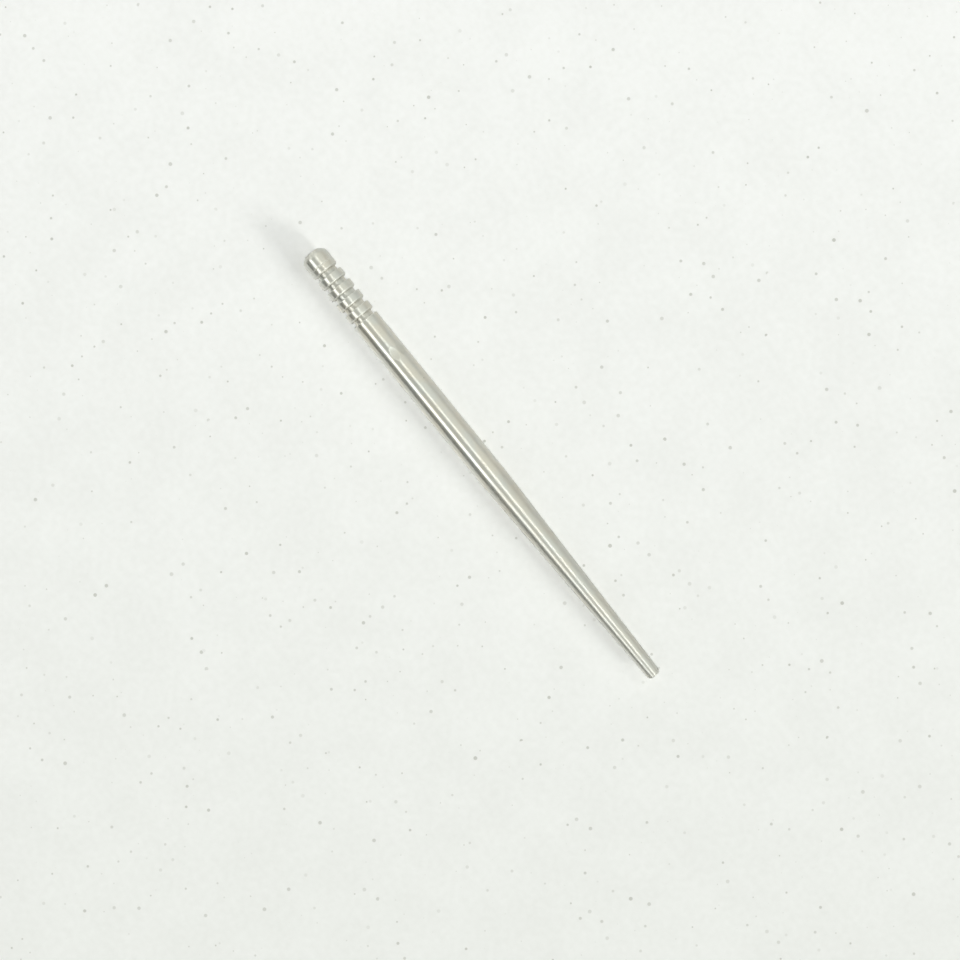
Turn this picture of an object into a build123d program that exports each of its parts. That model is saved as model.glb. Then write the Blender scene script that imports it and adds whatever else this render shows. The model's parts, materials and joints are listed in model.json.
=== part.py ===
from build123d import *
import os

# A carburettor jet needle: one bar, turned from end to end with no seam in it.
#
# Frame: millimetres, +Z up. The needle lies on its side along +X, from the centre
# of its head face at the origin to its tip. Its lowest line is one shank radius
# below the origin.

# ---- driving dimensions ----

overall_length = 48.65
shank_diameter = 2.5
tip_diameter = 1.25
taper_length = 23.25

head_face_diameter = 1.46
head_chamfer_length = 0.45
head_edge_rounding = 0.3
tip_rounding = 0.38

# Five seats for a retaining clip that fits a 1.9 mm groove, one above the other, which
# set how far the needle hangs below the slide that carries it. The needle's weight
# and the spring above it press each seat's head side down on the clip, so the lip
# on that side is broken and the other is left sharp.
groove_count = 5
groove_pitch = 1.275
groove_width = 0.47
groove_core_diameter = 1.9
first_groove_position = 2.34
head_side_lip = 0.1

# A fine V cut once round the head, above the first seat.
scribe_position = 1.445
scribe_depth = 0.04

# Two plain punch marks side by side round the shank, where such a needle is
# identified. A ball-ended punch much larger than the shank leaves long ovals.
punch_count = 2
punch_position = 11.7
punch_depth = 0.07
punch_ball_radius = 3.3
punch_spacing_angle = 38.0
punch_middle_angle = 65.0

# ---- worked out from them ----

shank_radius = shank_diameter / 2
taper_start = overall_length - taper_length
groove_middle = first_groove_position + groove_pitch * (groove_count - 1) / 2
groove_depth = (shank_diameter - groove_core_diameter) / 2
punch_ball_centre = shank_radius + punch_ball_radius - punch_depth
punch_arc = punch_spacing_angle * (punch_count - 1)

# ---- the needle ----

with BuildPart() as needle:
    # The bar: head chamfer, straight shank, one straight taper and a square end.
    with BuildSketch(Plane.XZ):
        with BuildLine():
            Polyline(
                (0, 0),
                (0, head_face_diameter / 2),
                (head_chamfer_length, shank_radius),
                (taper_start, shank_radius),
                (overall_length, tip_diameter / 2),
                (overall_length, 0),
                close=True,
            )
        make_face()
    revolve(axis=Axis.X)

    # The chamfer's outer edge and the tip's corner are rounded. The tip keeps a small
    # flat at the very end.
    chamfer_edge = needle.edges().filter_by(GeomType.CIRCLE).sort_by(Axis.X)[1]
    fillet(chamfer_edge, radius=head_edge_rounding)
    tip_edge = needle.edges().filter_by(GeomType.CIRCLE).sort_by(Axis.X)[-1]
    fillet(tip_edge, radius=tip_rounding)

    # The clip seats are square-cut.
    with BuildSketch(Plane.XZ):
        with Locations((groove_middle, groove_core_diameter / 2)):
            with GridLocations(groove_pitch, 0, groove_count, 1):
                Rectangle(groove_width, 2 * groove_depth, align=(Align.CENTER, Align.MIN))
    revolve(axis=Axis.X, mode=Mode.SUBTRACT)

    # Squares standing on their points, swept round the bar, break each seat's head-side
    # lip at 45 degrees and cut the scribed ring.
    with BuildSketch(Plane.XZ):
        with Locations((groove_middle - groove_width / 2, shank_radius)):
            with GridLocations(groove_pitch, 0, groove_count, 1):
                Rectangle(head_side_lip * 2**0.5, head_side_lip * 2**0.5, rotation=45)
        with Locations((scribe_position, shank_radius)):
            Rectangle(scribe_depth * 2**0.5, scribe_depth * 2**0.5, rotation=45)
    revolve(axis=Axis.X, mode=Mode.SUBTRACT)

    # The punch marks stand side by side round the upper side of the shank.
    with Locations(Plane.YZ.offset(punch_position)):
        with PolarLocations(
            punch_ball_centre,
            punch_count,
            start_angle=punch_middle_angle - punch_arc / 2,
            angular_range=punch_arc,
            endpoint=True,
        ):
            Sphere(punch_ball_radius, mode=Mode.SUBTRACT)

needle.part.label = "needle"

os.makedirs("parts", exist_ok=True)
export_step(needle.part, "parts/needle.step")
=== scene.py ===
import json
import math

import bmesh
import bpy
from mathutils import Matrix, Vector


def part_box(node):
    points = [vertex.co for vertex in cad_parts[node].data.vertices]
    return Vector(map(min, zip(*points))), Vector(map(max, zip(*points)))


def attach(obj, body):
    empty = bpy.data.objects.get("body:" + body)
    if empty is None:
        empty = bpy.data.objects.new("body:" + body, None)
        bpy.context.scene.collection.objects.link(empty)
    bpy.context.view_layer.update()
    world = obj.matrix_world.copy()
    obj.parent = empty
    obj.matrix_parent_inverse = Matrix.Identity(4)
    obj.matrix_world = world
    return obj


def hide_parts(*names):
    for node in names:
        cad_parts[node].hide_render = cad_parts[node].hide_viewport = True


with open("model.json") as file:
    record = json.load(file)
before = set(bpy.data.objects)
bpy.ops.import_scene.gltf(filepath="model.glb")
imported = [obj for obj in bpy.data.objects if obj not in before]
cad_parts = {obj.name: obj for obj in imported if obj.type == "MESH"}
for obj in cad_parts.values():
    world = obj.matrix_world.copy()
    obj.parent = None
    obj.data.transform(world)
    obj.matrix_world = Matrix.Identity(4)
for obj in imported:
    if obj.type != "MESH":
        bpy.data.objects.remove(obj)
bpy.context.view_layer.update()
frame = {"nodes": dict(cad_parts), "record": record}

MM = 0.001

# ---- sizes and places, all read from the frame, in metres ----

mounts = {mount["name"]: mount for mount in frame["record"]["mounts"]}
shank = mounts["shank"]
seats = [mounts[name] for name in sorted(mounts) if name.startswith("clip_groove")]

needle_low, needle_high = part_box("needle")
needle_middle = (needle_low + needle_high) / 2
shank_radius = shank["dims"]["r_mm"] * MM
shank_start = shank["pos_m"][0] - shank["dims"]["length_mm"] * MM / 2
taper_start = shank["pos_m"][0] + shank["dims"]["length_mm"] * MM / 2
core_radius = seats[0]["dims"]["r_mm"] * MM

FRAME_DECIMALS = 6              # places in the frame are told apart to a thousandth of a mm
SHANK_MARGIN = 0.01 * MM        # what is this close to an end edge of the shank isn't on it
MARK_GAP = math.radians(4)      # least turn between the edges of two punch marks


def on_shank(x):
    """Whether a place on the axis is inside the shank, off both of its end edges."""
    return shank_start + SHANK_MARGIN < x < taper_start - SHANK_MARGIN


def frame_points():
    """The CAD needle's vertices as (position along the axis, radius, angle round the axis)."""
    for vertex in frame["nodes"]["needle"].data.vertices:
        x, y, z = vertex.co
        yield x, math.hypot(y, z), math.atan2(z, y)


def frame_corners():
    """Corners of the CAD needle's outline, (position, radius) from the head's rim to the tip's."""
    radii_at = {}
    for x, radius, _ in frame_points():
        if radius > 0 and not on_shank(x):
            radii = radii_at.setdefault(round(x, FRAME_DECIMALS), set())
            radii.add(round(radius, FRAME_DECIMALS))
    corners = []
    for x in sorted(radii_at):
        radii = sorted(radii_at[x])
        last_radius = corners[-1].y if corners else 0
        if abs(radii[-1] - last_radius) < abs(radii[0] - last_radius):
            radii.reverse()
        corners += [Vector((x, radius)) for radius in radii]
    return corners


def punch_marks():
    """The punch marks of the CAD shank: its only vertices between the shank's two ends."""
    inside = sorted((angle, x, radius) for x, radius, angle in frame_points() if on_shank(x))
    groups = [[inside[0]]]
    for point in inside[1:]:
        if point[0] - groups[-1][-1][0] > MARK_GAP:
            groups.append([])
        groups[-1].append(point)
    marks = []
    for group in groups:
        angles, positions, radii = zip(*group)
        marks.append({
            "position": (min(positions) + max(positions)) / 2,
            "angle": (min(angles) + max(angles)) / 2,
            "half_length": (max(positions) - min(positions)) / 2,
            "half_width": (max(angles) - min(angles)) / 2 * shank_radius,
            "depth": shank_radius - min(radii),
        })
    return marks


# ---- the finer shape that the frame leaves out ----

ROUND_SEGMENTS = 144
CORNER_STEPS = 4
# How far from a corner its rounding starts: at a sharp outer edge, at the foot of a seat,
# and along a stretch that is already round in the frame. No rounding takes up more than
# a set share of either side.
EDGE_ROUNDING = 0.04 * MM
FOOT_ROUNDING = 0.06 * MM
SOFT_ROUNDING = 0.12 * MM
MOST_OF_A_SIDE = 0.49
# Sines of a corner's turn, below which it counts as straight and as part of a round stretch.
STRAIGHT_TURN = 0.01
SOFT_TURN = 0.6

# Rings stand close together at both ends of a straight run and no farther apart than this.
END_RING_SPACING = EDGE_ROUNDING
RING_SPACING = 0.6 * MM
MARK_RING_SPACING = 0.04 * MM

# Shares of a punch mark's half-length and half-width, measured from its middle.
MARK_REACH = 1.5                # how far the close rings go
BURR_HEIGHT = 0.002 * MM
BURR_WIDTH = 0.3
DULL_FADE = 0.3                 # how far dullness fades to each side of the edge

# Painted shade in a clip seat, as a share of full cover: everywhere, and at the head side's foot.
SEAT_SHADE_ALL_OVER = 0.03
SEAT_SHADE_AT_FOOT = 0.27
SEAT_MARGIN = 0.3               # how far past its walls a seat is looked for, in widths


def corner_arc(corner, to_before, to_after, cut):
    """Points along the arc that rounds a corner and touches each side at one cut from it."""
    before, after = to_before.normalized(), to_after.normalized()
    half_angle = before.angle(after) / 2
    centre = corner + (before + after).normalized() * cut / math.cos(half_angle)
    start = corner + before * cut - centre
    end = corner + after * cut - centre
    directions = [
        start.normalized().slerp(end.normalized(), step / CORNER_STEPS)
        for step in range(CORNER_STEPS + 1)
    ]
    return [centre + direction * start.length for direction in directions]


def rounded_outline():
    """The outline with its corners rounded, as (point, wear): wear is 1 on a square outer edge."""
    centre_line = [Vector((needle_low.x, 0)), Vector((needle_high.x, 0))]
    corners = [centre_line[0]] + frame_corners() + [centre_line[1]]
    outline = [(corners[0], 0)]
    for before, corner, after in zip(corners, corners[1:], corners[2:]):
        to_before, to_after = before - corner, after - corner
        turn = to_before.normalized().cross(to_after.normalized())
        if abs(turn) < STRAIGHT_TURN:
            outline.append((corner, 0))
            continue
        if abs(turn) < SOFT_TURN:
            reach, wear = SOFT_ROUNDING, 0
        elif turn < 0:
            reach, wear = FOOT_ROUNDING, 0
        else:
            reach, wear = EDGE_ROUNDING, turn
        cut = min(reach, MOST_OF_A_SIDE * to_before.length, MOST_OF_A_SIDE * to_after.length)
        outline += [(point, wear) for point in corner_arc(corner, to_before, to_after, cut)]
    outline.append((corners[-1], 0))
    return outline


def needle_outline(marks):
    """The rounded outline with rings added along its straight runs, close together at the marks."""
    mark_low = min(mark["position"] - MARK_REACH * mark["half_length"] for mark in marks)
    mark_high = max(mark["position"] + MARK_REACH * mark["half_length"] for mark in marks)
    outline = rounded_outline()
    filled = [outline[0]]
    for (start, _), (end, end_wear) in zip(outline, outline[1:]):
        run = end - start
        done = 0
        while run.length - done > 1.5 * END_RING_SPACING:
            step = max(END_RING_SPACING, min(done, (run.length - done) / 2))
            step = min(step, RING_SPACING)
            if mark_low - step < start.x + run.normalized().x * done < mark_high:
                step = min(step, MARK_RING_SPACING)
            done += step
            if run.length - done > 0.5 * END_RING_SPACING:
                filled.append((start + run.normalized() * done, 0))
        filled.append((end, end_wear))
    return filled


def punched(x, angle, marks):
    """How far the punch marks raise the shank's surface at one point, and how dull they leave it."""
    change = 0
    dullness = 0
    for mark in marks:
        turn = math.remainder(angle - mark["angle"], math.tau) * shank_radius
        reach = math.hypot((x - mark["position"]) / mark["half_length"], turn / mark["half_width"])
        change -= mark["depth"] * max(0, 1 - reach * reach)
        change += BURR_HEIGHT * math.exp(-(((reach - 1) / BURR_WIDTH) ** 2))
        dullness = max(dullness, min(1, (1 + DULL_FADE - reach) / (2 * DULL_FADE)))
    return change, dullness


def seat_depth_and_shade(point):
    """Share of a clip seat's depth at a place on the outline, and the painted shade there.

    Most of the painted shade goes to the foot of the seat's head side.
    """
    for seat in seats:
        width = seat["dims"]["length_mm"] * MM
        across = (point.x - seat["pos_m"][0]) / width + 0.5
        if -SEAT_MARGIN < across < 1 + SEAT_MARGIN:
            depth = (shank_radius - point.y) / (shank_radius - core_radius)
            nearness = max(0, 1 - 2 * max(0, across))
            return depth, depth * (SEAT_SHADE_ALL_OVER + SEAT_SHADE_AT_FOOT * nearness)
    return 0, 0


def build_needle():
    """The whole needle as one closed surface turned about the X axis, a ring per outline point."""
    marks = punch_marks()
    shape = bmesh.new()
    along_layer = shape.verts.layers.float.new("along_mm")
    seat_layer = shape.verts.layers.float.new("in_seat")
    seat_shade_layer = shape.verts.layers.float.new("residue")
    mark_layer = shape.verts.layers.float.new("in_mark")
    wear_layer = shape.verts.layers.float.new("edge_wear")
    rings = []
    along = 0
    last_point = Vector((0, 0))
    for point, wear in needle_outline(marks):
        along += (point - last_point).length
        last_point = point
        seat_depth, residue = seat_depth_and_shade(point)
        ring = []
        for step in range(ROUND_SEGMENTS if point.y > 0 else 1):
            angle = math.tau * step / ROUND_SEGMENTS
            change, dullness = punched(point.x, angle, marks) if on_shank(point.x) else (0, 0)
            radius = point.y + change
            vertex = shape.verts.new((point.x, radius * math.cos(angle), radius * math.sin(angle)))
            vertex[along_layer] = along / MM
            vertex[wear_layer] = wear
            vertex[seat_layer] = seat_depth
            vertex[seat_shade_layer] = residue
            vertex[mark_layer] = dullness
            ring.append(vertex)
        rings.append(ring)
    for ring, following in zip(rings, rings[1:]):
        for step in range(ROUND_SEGMENTS):
            corners = [ring[step % len(ring)], following[step % len(following)]]
            corners += [following[(step + 1) % len(following)], ring[(step + 1) % len(ring)]]
            shape.faces.new(dict.fromkeys(corners))
    bmesh.ops.recalc_face_normals(shape, faces=shape.faces)
    for face in shape.faces:
        face.smooth = True
    mesh = bpy.data.meshes.new("needle_turned")
    shape.to_mesh(mesh)
    shape.free()
    piece = bpy.data.objects.new("needle_turned", mesh)
    bpy.context.scene.collection.objects.link(piece)
    piece.modifiers.new("even_shading", "WEIGHTED_NORMAL")
    return piece


# ---- shader nodes ----

def add_node(tree, kind, inputs=(), **settings):
    """Adds a node. inputs maps input names or numbers to a value or to another node's output."""
    node = tree.nodes.new(kind)
    for name, value in settings.items():
        setattr(node, name, value)
    for name, value in dict(inputs).items():
        if isinstance(value, bpy.types.NodeSocket):
            tree.links.new(value, node.inputs[name])
        else:
            node.inputs[name].default_value = value
    return node


def new_material(name):
    material = bpy.data.materials.new(name)
    material.use_nodes = True
    material.node_tree.nodes.clear()
    return material, material.node_tree


def finish_material(tree, shader):
    add_node(tree, "ShaderNodeOutputMaterial", {"Surface": shader.outputs[0]})


def object_place(tree):
    return add_node(tree, "ShaderNodeTexCoord").outputs["Object"]


def attribute(tree, name):
    return add_node(tree, "ShaderNodeAttribute", attribute_name=name).outputs["Fac"]


def times(tree, value, factor):
    return add_node(tree, "ShaderNodeMath", {0: value, 1: factor}, operation="MULTIPLY").outputs[0]


def plus(tree, value, other):
    return add_node(tree, "ShaderNodeMath", {0: value, 1: other}, operation="ADD").outputs[0]


def noise(tree, point, scale, detail):
    inputs = {"Vector": point, "Scale": scale, "Detail": detail}
    return add_node(tree, "ShaderNodeTexNoise", inputs).outputs["Fac"]


def ramp(tree, value, from_low, from_high, to_low=0, to_high=1):
    """Maps a range onto another and clamps what lies outside."""
    inputs = {0: value, 1: from_low, 2: from_high, 3: to_low, 4: to_high}
    return add_node(tree, "ShaderNodeMapRange", inputs).outputs[0]


def spread(tree, noise_value, to_low, to_high):
    """Maps the range that most of a noise lies in onto another."""
    return ramp(tree, noise_value, 0.3, 0.7, to_low, to_high)


def blend(tree, share, first, second):
    """Mixes two colours, each a colour or another node's output."""
    inputs = {0: share, 6: first, 7: second}
    return add_node(tree, "ShaderNodeMix", inputs, data_type="RGBA").outputs[2]


def bump(tree, height, distance, normal=None):
    inputs = {"Height": height, "Strength": 1, "Distance": distance}
    if normal:
        inputs["Normal"] = normal
    return add_node(tree, "ShaderNodeBump", inputs).outputs[0]


# ---- materials ----

METAL_WARM = (0.612, 0.580, 0.508, 1)
METAL_COOL = (0.580, 0.582, 0.546, 1)
METAL_WORN = (0.672, 0.665, 0.624, 1)
METAL_DULL = (0.494, 0.490, 0.440, 1)
# painted shade for the clip seats' hollows, a dark brown
SEAT_SHADE = (0.235, 0.190, 0.115, 1)

# Noise on the metal: features in a mm along the turned outline and across the needle, detail.
METAL_NOISE = {
    "fine_marks": (26, 0.5, 2),
    "bands": (5, 0.35, 3),
    "patches": (0.45, 0.8, 3),
    "rubbing": (0.3, 11, 1),
    "waviness": (0.7, 0.7, 1),
    "grime": (2.2, 1.6, 3),
}
FINE_MARK_DEPTH = 0.0006 * MM
BAND_DEPTH = 0.0015 * MM
WAVE_DEPTH = 0.004 * MM
GRAIN = 0.9                     # how far the tool marks draw highlights out along the needle


def metal_noise(tree, name):
    """One of the metal's noises, fixed to the outline so that it also goes down the walls."""
    along_scale, round_scale, detail = METAL_NOISE[name]
    parts = add_node(tree, "ShaderNodeSeparateXYZ", {0: object_place(tree)})
    point = add_node(tree, "ShaderNodeCombineXYZ", {
        "X": times(tree, attribute(tree, "along_mm"), along_scale),
        "Y": times(tree, parts.outputs["Y"], round_scale / MM),
        "Z": times(tree, parts.outputs["Z"], round_scale / MM),
    })
    return noise(tree, point.outputs[0], 1, detail)


def needle_metal():
    """Bright turned steel: tool marks round it, dull edges and punch marks, painted shade in the
    seats.
    """
    material, tree = new_material("needle_metal")
    fine_marks = metal_noise(tree, "fine_marks")
    bands = metal_noise(tree, "bands")
    patches = metal_noise(tree, "patches")
    waviness = metal_noise(tree, "waviness")
    grime = metal_noise(tree, "grime")
    rubbing = ramp(tree, metal_noise(tree, "rubbing"), 0.60, 0.75)

    position = add_node(tree, "ShaderNodeSeparateXYZ", {0: object_place(tree)}).outputs["X"]
    before_shank = ramp(tree, position, shank_start, shank_start + MM, 1, 0)
    past_taper_start = ramp(tree, position, taper_start, taper_start + MM)
    down_taper = ramp(tree, position, taper_start, needle_high.x)

    in_mark = attribute(tree, "in_mark")
    in_seat = attribute(tree, "in_seat")
    edge_wear = attribute(tree, "edge_wear")
    worn = times(tree, edge_wear, ramp(tree, grime, 0.35, 0.6, 0.4, 1))
    # painted shade in the clip seats, deepest at the foot of each head-side wall, patchy
    painted_seat_shade = times(tree, attribute(tree, "residue"), ramp(tree, grime, 0.35, 0.65, 0.45, 1))

    colour = blend(tree, ramp(tree, patches, 0.38, 0.62), METAL_WARM, METAL_COOL)
    for share, layer in (
        (spread(tree, bands, 0.22, 0), METAL_DULL),
        (spread(tree, fine_marks, 0, 0.22), METAL_WORN),
        (times(tree, rubbing, 0.15), METAL_WORN),
        (times(tree, down_taper, 0.6), METAL_WORN),
        (times(tree, in_mark, 0.35), METAL_DULL),
        (worn, METAL_WORN),
        (painted_seat_shade, SEAT_SHADE),
    ):
        colour = blend(tree, share, colour, layer)

    roughness = plus(tree, spread(tree, bands, 0.31, 0.37), spread(tree, fine_marks, -0.02, 0.02))
    for share, change in (
        (rubbing, -0.04),
        (edge_wear, 0.16),
        (in_mark, 0.22),
        (painted_seat_shade, 0.2),
        (in_seat, 0.03),
        (before_shank, 0.03),
        (past_taper_start, 0.10),
        (down_taper, 0.06),
    ):
        roughness = plus(tree, roughness, times(tree, share, change))

    grain = GRAIN
    for share, change in ((in_seat, -0.2), (edge_wear, -0.6), (in_mark, -0.5)):
        grain = plus(tree, grain, times(tree, share, change))

    normal = bump(tree, waviness, WAVE_DEPTH)
    normal = bump(tree, bands, BAND_DEPTH, normal)
    normal = bump(tree, fine_marks, FINE_MARK_DEPTH, normal)

    tangent = add_node(tree, "ShaderNodeTangent", direction_type="RADIAL", axis="X")
    shader = add_node(tree, "ShaderNodeBsdfPrincipled", {
        "Base Color": colour,
        "Metallic": 1,
        "Roughness": roughness,
        "Anisotropic": grain,
        "Anisotropic Rotation": 0.25,
        "Tangent": tangent.outputs[0],
        "Normal": normal,
    })
    finish_material(tree, shader)
    return material


FLOOR_LIT = (0.980, 0.970, 0.990, 1)
FLOOR_SHADED = (0.866, 0.862, 0.864, 1)
FLOOR_SPECK = (0.560, 0.550, 0.530, 1)
FLOOR_SHADE_FADE = 50 * MM            # half of the stretch over which the painted shade turns the floor light to deep

# Noise on the floor: features in a mm, detail.
MOTTLE = (1.6, 3)
CLOUDS = (0.2, 4)
MOTTLE_RELIEF = 0.01 * MM

# Specks, one at most in each cell of the floor. Lengths are in cells.
SPECK_CELLS_PER_MM = 0.7
SPECK_LARGEST = 0.12
SPECK_EDGE = 0.02


def painted_floor_light(tree):
    """Painted light and shade on the floor: how light it is, from 0 at the picture's lower edge to 1
    at its upper one.
    """
    turn = math.radians(VIEW_TURN)
    up_picture = Vector((-math.sin(turn), math.cos(turn), 0))
    height = add_node(tree, "ShaderNodeVectorMath", {
        0: object_place(tree), 1: up_picture,
    }, operation="DOT_PRODUCT").outputs["Value"]
    centre = up_picture.dot(Vector((needle_middle.x + AIM_OFFSET[0], AIM_OFFSET[1], 0)))
    return ramp(tree, height, centre - FLOOR_SHADE_FADE, centre + FLOOR_SHADE_FADE)


def floor_specks(tree, point):
    """Round specks in half of the cells, most of them very small and some of them faint."""
    cells = add_node(
        tree, "ShaderNodeTexVoronoi", {"Vector": point, "Scale": SPECK_CELLS_PER_MM},
        voronoi_dimensions="2D",
    )
    picks = add_node(tree, "ShaderNodeSeparateColor", {0: cells.outputs["Color"]})
    chosen = ramp(tree, picks.outputs[0], 0.5, 1)
    size = times(tree, times(tree, chosen, chosen), SPECK_LARGEST)
    inside = plus(tree, size, times(tree, cells.outputs["Distance"], -1))
    cover = ramp(tree, inside, -SPECK_EDGE, SPECK_EDGE)
    return times(tree, cover, ramp(tree, picks.outputs[1], 0, 1, 0.2, 0.9))


def floor_material():
    """A pale matt board, with painted shade that makes it a little deeper low in the picture,
    mottled, with a few specks.
    """
    material, tree = new_material("floor_pale")
    point = add_node(tree, "ShaderNodeVectorMath", {
        0: object_place(tree), "Scale": 1 / MM,
    }, operation="SCALE").outputs[0]
    mottle = noise(tree, point, *MOTTLE)
    clouds = noise(tree, point, *CLOUDS)

    # painted shade: the floor darkens towards the picture's lower edge
    colour = blend(tree, painted_floor_light(tree), FLOOR_SHADED, FLOOR_LIT)
    colour = blend(tree, spread(tree, mottle, 0, 0.08), colour, FLOOR_SPECK)
    colour = blend(tree, ramp(tree, clouds, 0.35, 0.65, 0, 0.07), colour, FLOOR_SPECK)
    colour = blend(tree, floor_specks(tree, point), colour, FLOOR_SPECK)
    shader = add_node(tree, "ShaderNodeBsdfPrincipled", {
        "Base Color": colour,
        "Roughness": spread(tree, mottle, 0.72, 0.88),
        "Specular IOR Level": 0.2,
        "Normal": bump(tree, mottle, MOTTLE_RELIEF),
    })
    finish_material(tree, shader)
    return material


# ---- stage, light and camera ----

LIGHT_TINT = (0.971, 1.0, 0.944)
STRIP_TINT = (0.968, 1.0, 0.985)
FLOOR_HALF_WIDTH = 2.0
BACKDROP_BRIGHTNESS = 0.9

# What the metal reflects: the brightness of a tent against the lean from straight up,
# in degrees towards +Y. Within TENT_END, in sines of the angle from the upright plane
# across the needle, it gives way to the tent's even ends.
TENT = (
    (-90, 0.11), (-75, 0.33), (-60, 0.46), (-48, 0.55), (-32, 0.68), (-10, 0.68), (-2, 0.75),
    (6, 0.95), (18, 1.08), (36, 1.10), (47, 1.10), (60, 1.05), (75, 0.88), (90, 0.66),
)
TENT_SCALE = 2.0                # a colour ramp holds brightness up to 1, so it is divided by this
TENT_END = (0.75, 0.95)
TENT_END_BRIGHTNESS = 1.7

# Strip lamps along the needle, seen in the metal on top of the tent: lean and width in
# degrees, the stretch they span along X in degrees towards the tip, and brightness.
# The upper one stands off to the tip's end, so the clip seats' walls hide it.
STRIPS = {
    "upper_strip": (11, 10, 20, 60, 8.8),
    "side_strip": (-43, 17, -40, 60, 2.4),
}
STRIP_DISTANCE = 0.6

# What lights the floor: lean, width and stretch along X as above, and share of its light.
# The key comes down the camera's own line at the seats, so nothing shades what shows
# through them. The end fill comes in low past the tip and draws the shadow out past the head.
FLOOR_LAMPS = {
    "floor_key": (-1, 8, 0, 8.4, 0.59),
    "floor_fill": (40, 36, 0, 60, 0.16),
    "floor_end_fill": (38, 30, 58, 72, 0.13),
    "floor_low_fill": (-50, 40, -45, 45, 0.11),
}
FLOOR_LAMP_DISTANCE = 2.4

# A white card lying on the floor along the needle's -Y side, which only the metal reflects:
# how far it starts from the needle's side and stands off the floor, and its size.
CARD_GAP = 0.1 * MM
CARD_WIDTH = 2.2 * MM
CARD_LENGTHS = 1.2              # its length as a multiple of the needle's
CARD_BRIGHTNESS = 0.25


def build_floor():
    mesh = bpy.data.meshes.new("floor")
    corners = [
        (needle_middle.x + side_x * FLOOR_HALF_WIDTH, side_y * FLOOR_HALF_WIDTH, needle_low.z)
        for side_x, side_y in ((-1, -1), (1, -1), (1, 1), (-1, 1))
    ]
    mesh.from_pydata(corners, [], [(0, 1, 2, 3)])
    floor = bpy.data.objects.new("floor", mesh)
    bpy.context.scene.collection.objects.link(floor)
    floor.data.materials.append(floor_material())


def tent_profile(tree, parts):
    """The tent's brightness in a direction, from its lean towards +Y."""
    lean = add_node(tree, "ShaderNodeMath", {
        0: parts.outputs["Y"], 1: parts.outputs["Z"],
    }, operation="ARCTAN2").outputs[0]
    place = ramp(tree, lean, -math.pi / 2, math.pi / 2)
    profile = add_node(tree, "ShaderNodeValToRGB", {0: place})
    stops = profile.color_ramp.elements
    while len(stops) < len(TENT):
        stops.new(0.5)
    for stop, (angle, brightness) in zip(stops, TENT):
        stop.position = (angle + 90) / 180
        stop.color = [brightness / TENT_SCALE] * 3 + [1]
    return times(tree, profile.outputs[0], TENT_SCALE)


def light_tent():
    """A pale tent seen only in reflections, and an even backdrop that only the camera sees."""
    world = bpy.data.worlds.new("tent")
    world.use_nodes = True
    tree = world.node_tree
    tree.nodes.clear()
    direction = add_node(tree, "ShaderNodeTexCoord").outputs["Generated"]
    parts = add_node(tree, "ShaderNodeSeparateXYZ", {0: direction})
    endwise = add_node(tree, "ShaderNodeMath", {0: parts.outputs["X"]}, operation="ABSOLUTE")
    tent = add_node(tree, "ShaderNodeMix", {
        0: ramp(tree, endwise.outputs[0], *TENT_END),
        "A": tent_profile(tree, parts),
        "B": TENT_END_BRIGHTNESS,
    })
    seen_directly = add_node(tree, "ShaderNodeLightPath").outputs["Is Camera Ray"]
    strength = add_node(tree, "ShaderNodeMix", {
        0: seen_directly,
        "A": tent.outputs[0],
        "B": BACKDROP_BRIGHTNESS,
    })
    background = add_node(tree, "ShaderNodeBackground", {
        "Color": (*LIGHT_TINT, 1),
        "Strength": strength.outputs[0],
    })
    add_node(tree, "ShaderNodeOutputWorld", {"Surface": background.outputs[0]})
    world.cycles_visibility.diffuse = False
    bpy.context.scene.world = world


def area_lamp(name, length, width, brightness):
    """A rectangular lamp that shines down, its length along X, hidden from the camera."""
    light = bpy.data.lights.new(name, "AREA")
    light.shape = "RECTANGLE"
    light.size = length
    light.size_y = width
    light.energy = brightness * length * width * math.pi
    light.color = LIGHT_TINT
    lamp = bpy.data.objects.new(name, light)
    lamp.visible_camera = False
    bpy.context.scene.collection.objects.link(lamp)
    return lamp


def leaning_lamp(name, lean, distance, width, span, brightness):
    """A lamp aimed at the needle, leaning towards +Y, that spans two angles along X."""
    low, high = (distance * math.tan(math.radians(angle)) for angle in span)
    breadth = 2 * distance * math.tan(math.radians(width / 2))
    lamp = area_lamp(name, high - low, breadth, brightness)
    turn = math.radians(lean)
    lamp.location = needle_middle + Vector((0, math.sin(turn), math.cos(turn))) * distance
    lamp.location.x += (low + high) / 2
    lamp.rotation_euler = (-turn, 0, 0)
    return lamp


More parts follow.
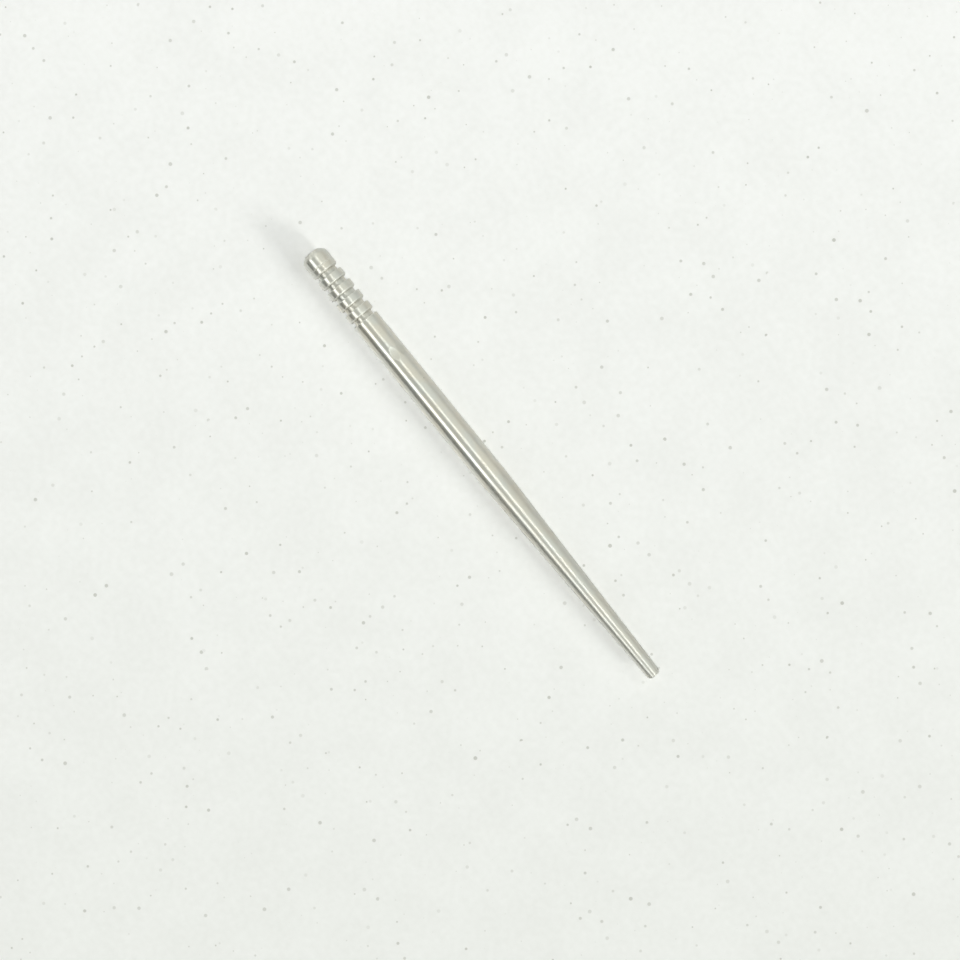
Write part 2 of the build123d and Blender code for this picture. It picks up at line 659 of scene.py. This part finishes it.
def strip_lamp(name, lean, width, low, high, brightness):
    """A lamp seen only in reflections."""
    lamp = leaning_lamp(name, lean, STRIP_DISTANCE, width, (low, high), brightness)
    lamp.data.color = STRIP_TINT
    lamp.visible_diffuse = False


def floor_lamp(name, lean, width, low, high, share):
    """A soft box that reflections leave out; share is its part of the floor's light."""
    turn, half = math.radians(lean), math.radians(width / 2)
    from_low, from_high = (
        math.radians(angle) / 2 + math.sin(2 * math.radians(angle)) / 4 for angle in (low, high)
    )
    # What the box gives a floor for each unit of brightness, against a whole bright sky.
    lit = (from_high - from_low) * (math.sin(turn + half) - math.sin(turn - half)) / math.pi
    lamp = leaning_lamp(name, lean, FLOOR_LAMP_DISTANCE, width, (low, high), share / lit)
    lamp.visible_glossy = False


def low_card():
    """The card beside the needle, shining up from just above the floor."""
    length = CARD_LENGTHS * (needle_high.x - needle_low.x)
    middle_y = needle_low.y - CARD_GAP - CARD_WIDTH / 2
    card = area_lamp("low_card", length, CARD_WIDTH, CARD_BRIGHTNESS)
    card.location = (needle_middle.x, middle_y, needle_low.z + CARD_GAP)
    card.rotation_euler = (math.pi, 0, 0)
    card.visible_diffuse = False


CAMERA_HEIGHT = 0.28
VIEW_WIDTH = 85.7 * MM          # what the picture spans at the needle's axis
VIEW_TURN = 50.85               # degrees between the needle and the picture's horizontal
AIM_OFFSET = (0.88 * MM, -1.09 * MM)


def add_camera():
    """A camera straight above, looking down past the needle's middle."""
    view = bpy.data.cameras.new("camera")
    view.lens = view.sensor_width * CAMERA_HEIGHT / VIEW_WIDTH
    view.clip_start = 0.01
    camera = bpy.data.objects.new("camera", view)
    camera.location = (needle_middle.x + AIM_OFFSET[0], AIM_OFFSET[1], CAMERA_HEIGHT)
    camera.rotation_euler = (0, 0, math.radians(VIEW_TURN))
    bpy.context.scene.collection.objects.link(camera)
    bpy.context.scene.camera = camera


needle = build_needle()
needle.data.materials.append(needle_metal())
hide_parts("needle")
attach(needle, "root")

build_floor()
light_tent()
for name, settings in STRIPS.items():
    strip_lamp(name, *settings)
for name, settings in FLOOR_LAMPS.items():
    floor_lamp(name, *settings)
low_card()
add_camera()
bpy.context.scene.view_settings.view_transform = "Standard"
